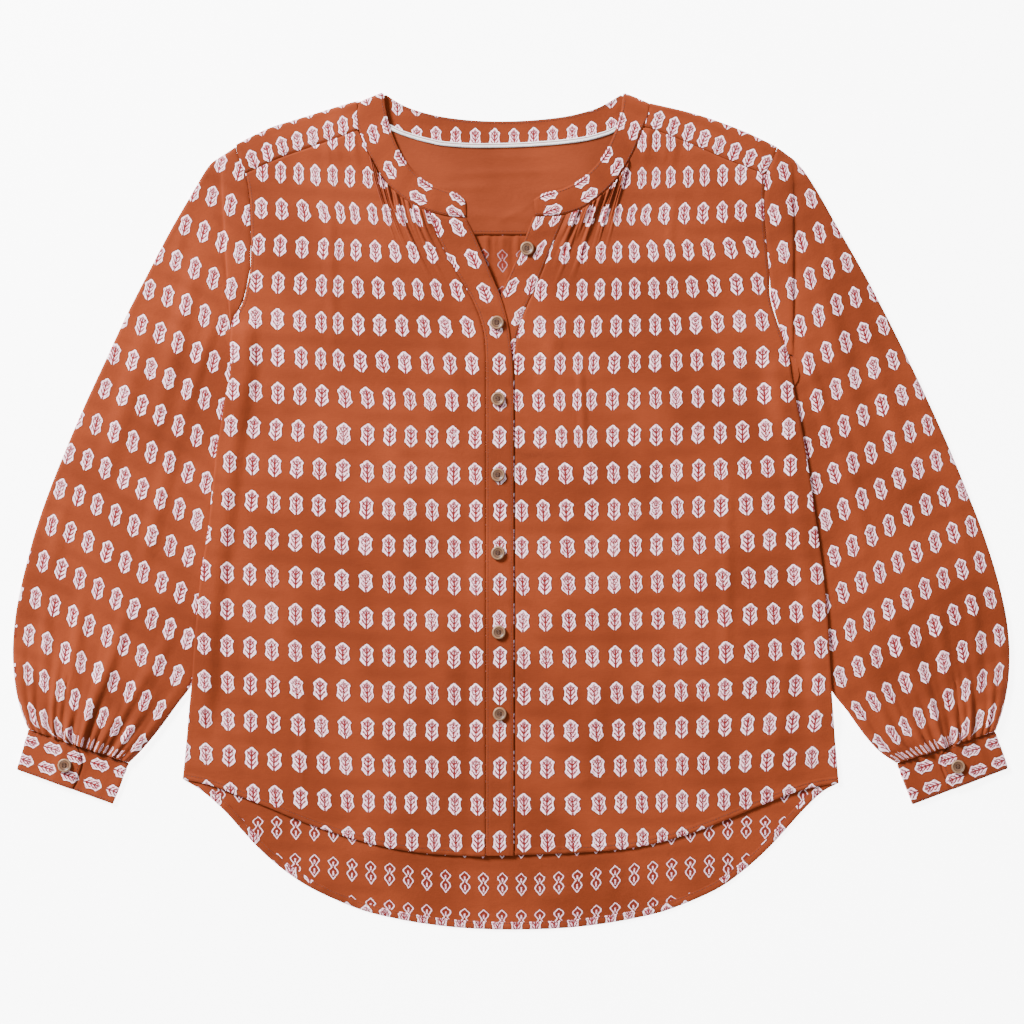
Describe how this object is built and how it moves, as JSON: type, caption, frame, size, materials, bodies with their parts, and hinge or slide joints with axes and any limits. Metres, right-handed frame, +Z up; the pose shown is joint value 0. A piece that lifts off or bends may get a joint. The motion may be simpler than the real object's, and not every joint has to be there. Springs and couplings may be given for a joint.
{
  "type": "blouse",
  "caption": "Button-front blouse with a notched neck band, long gathered sleeves and a curved longer back hem, laid flat on its back.",
  "frame": {"origin": "on the surface the blouse lies on, under the middle of its overall width and length", "axes": "+Z up from the surface; +Y towards the neck; +X towards the wearer's left sleeve, which is on the right seen from above"},
  "size_m": [0.896, 0.7532, 0.0071],
  "materials": {
    "rust_print": "matt woven cotton, rust ground printed with rows of small pale pink leaf motifs",
    "rust_plain": "matt woven cotton, plain rust",
    "white_tape": "matt white cotton tape",
    "horn": "satin horn-like plastic, olive brown with a paler rim"
  },
  "bodies": {
    "root": {"back": "rust_print", "front_right": "rust_print", "front_left": "rust_print", "yoke": "rust_print", "neck_band": "rust_print", "placket_right": "rust_print", "placket_left": "rust_print", "sleeve_right": "rust_print", "sleeve_left": "rust_print", "cuff_right": "rust_print", "cuff_left": "rust_print", "yoke_lining": "rust_plain", "neck_tape": "white_tape", "button_1": "horn", "button_2": "horn", "button_3": "horn", "button_4": "horn", "button_5": "horn", "button_6": "horn", "button_7": "horn", "button_cuff_right": "horn", "button_cuff_left": "horn"}
  },
  "joints": []
}
